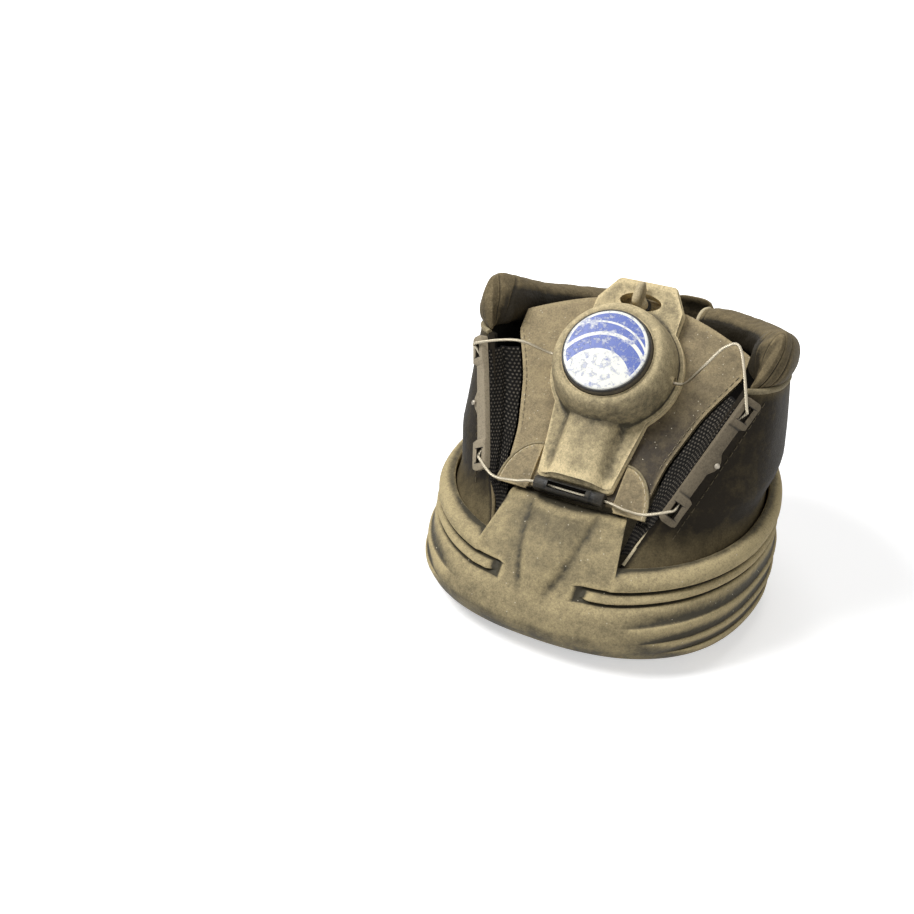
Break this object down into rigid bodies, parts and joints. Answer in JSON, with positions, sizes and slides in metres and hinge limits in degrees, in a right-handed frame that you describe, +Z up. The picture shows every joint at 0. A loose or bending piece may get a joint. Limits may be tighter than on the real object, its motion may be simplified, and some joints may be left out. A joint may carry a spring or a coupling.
{
  "type": "horse hoof boot",
  "caption": "Rubber and leather hoof boot with padded collars, a leaning tongue, side lace guides and a geared dial reel that winds in a steel lace.",
  "frame": {"origin": "on the ground, in the middle of the boot's outline", "axes": "+X to the right-hand side in the picture, +Y towards the heel, +Z up; the toe points to -Y"},
  "size_m": [0.149, 0.1697, 0.1342],
  "materials": {
    "washer_plastic": "satin moulded plastic",
    "screw_steel": "worn steel",
    "collar_leather_left": "worn dusty leather",
    "collar_leather_right": "worn dusty leather",
    "dial_plastic": "satin moulded plastic",
    "dial_face_print": "printed plastic, worn",
    "stud_steel_left": "worn steel",
    "stud_steel_right": "worn steel",
    "gusset_mesh_left": "woven fabric",
    "gusset_mesh_right": "woven fabric",
    "heel_leather": "worn dusty leather",
    "insole_board": "woven fabric",
    "lace_steel": "worn steel",
    "guide_plastic_left": "satin moulded plastic",
    "guide_plastic_right": "satin moulded plastic",
    "lining_fabric_left": "woven fabric",
    "lining_fabric_right": "woven fabric",
    "tube_plastic": "satin moulded plastic",
    "shell_rubber": "dusty moulded rubber",
    "planet_gear_plastic_1": "satin moulded plastic",
    "planet_gear_plastic_2": "satin moulded plastic",
    "planet_gear_plastic_3": "satin moulded plastic",
    "bush_brass": "turned brass",
    "quarter_leather_left": "worn dusty leather",
    "quarter_leather_right": "worn dusty leather",
    "base_plastic": "satin moulded plastic",
    "cover_rubber": "dusty moulded rubber",
    "housing_plastic": "satin moulded plastic",
    "ring_gear_plastic": "satin moulded plastic",
    "spool_plastic": "satin moulded plastic",
    "sun_gear_plastic": "satin moulded plastic",
    "tongue_leather": "worn dusty leather",
    "tongue_foam": "woven fabric",
    "patch_leather_left": "worn dusty leather",
    "patch_leather_right": "worn dusty leather",
    "button_plastic": "satin moulded plastic"
  },
  "bodies": {
    "boot": {"outer_shell": "shell_rubber", "insole": "insole_board", "quarter_left": "quarter_leather_left", "quarter_right": "quarter_leather_right", "lining_left": "lining_fabric_left", "lining_right": "lining_fabric_right", "collar_left": "collar_leather_left", "collar_right": "collar_leather_right", "heel_strip": "heel_leather", "lace_guide_left": "guide_plastic_left", "lace_guide_right": "guide_plastic_right", "guide_stud_left": "stud_steel_left", "guide_stud_right": "stud_steel_right", "gusset_left": "gusset_mesh_left", "gusset_right": "gusset_mesh_right", "lace": "lace_steel"},
    "tongue": {"tongue": "tongue_leather", "tongue_padding": "tongue_foam", "tongue_patch_left": "patch_leather_left", "tongue_patch_right": "patch_leather_right", "lower_guide": "tube_plastic", "reel_cover": "cover_rubber", "reel_base": "base_plastic", "reel_housing": "housing_plastic", "ring_gear": "ring_gear_plastic", "centre_screw": "screw_steel", "button_base": "washer_plastic"},
    "turn_button": {"turn_button": "button_plastic"},
    "pull_bush": {"pull_bush": "bush_brass"},
    "dial": {"dial": "dial_plastic", "dial_face": "dial_face_print", "sun_gear": "sun_gear_plastic"},
    "spool": {"spool": "spool_plastic"},
    "planet_1": {"planet_gear_1": "planet_gear_plastic_1"},
    "planet_2": {"planet_gear_2": "planet_gear_plastic_2"},
    "planet_3": {"planet_gear_3": "planet_gear_plastic_3"}
  },
  "joints": [
    {"name": "tongue_lean", "type": "hinge", "parent": "boot", "child": "tongue", "pos_m": [0, -0.04999, 0.0546], "axis": [1, 0, 0], "range_deg": [0, 20], "deforming": ["gusset_left", "gusset_right", "lace"]},
    {"name": "button_turn", "type": "hinge", "parent": "tongue", "child": "turn_button", "pos_m": [0, 0.01124, 0.1226], "axis": [0, -0.7431, 0.6691], "range_deg": [0, 90]},
    {"name": "dial_pull", "type": "slide", "parent": "tongue", "child": "pull_bush", "axis": [0, -0.7431, 0.6691], "range_m": [0, 0.0025]},
    {"name": "dial_turn", "type": "hinge", "parent": "pull_bush", "child": "dial", "pos_m": [0, -0.00991, 0.09911], "axis": [0, -0.7431, 0.6691], "continuous": true},
    {"name": "spool_turn", "type": "hinge", "parent": "tongue", "child": "spool", "pos_m": [0, -0.00991, 0.09911], "axis": [0, -0.7431, 0.6691], "continuous": true},
    {"name": "planet_1_turn", "type": "hinge", "parent": "spool", "child": "planet_1", "pos_m": [0.0105, -0.01615, 0.10473], "axis": [0, -0.7431, 0.6691], "continuous": true},
    {"name": "planet_2_turn", "type": "hinge", "parent": "spool", "child": "planet_2", "pos_m": [-0.00525, -0.01006, 0.11149], "axis": [0, -0.7431, 0.6691], "continuous": true},
    {"name": "planet_3_turn", "type": "hinge", "parent": "spool", "child": "planet_3", "pos_m": [-0.00525, -0.02223, 0.09798], "axis": [0, -0.7431, 0.6691], "continuous": true}
  ],
  "couplings": [
    {"joint": "spool_turn", "follows": "dial_turn", "ratio": 0.28571},
    {"joint": "planet_1_turn", "follows": "dial_turn", "ratio": -0.95238},
    {"joint": "planet_2_turn", "follows": "dial_turn", "ratio": -0.95238},
    {"joint": "planet_3_turn", "follows": "dial_turn", "ratio": -0.95238}
  ]
}
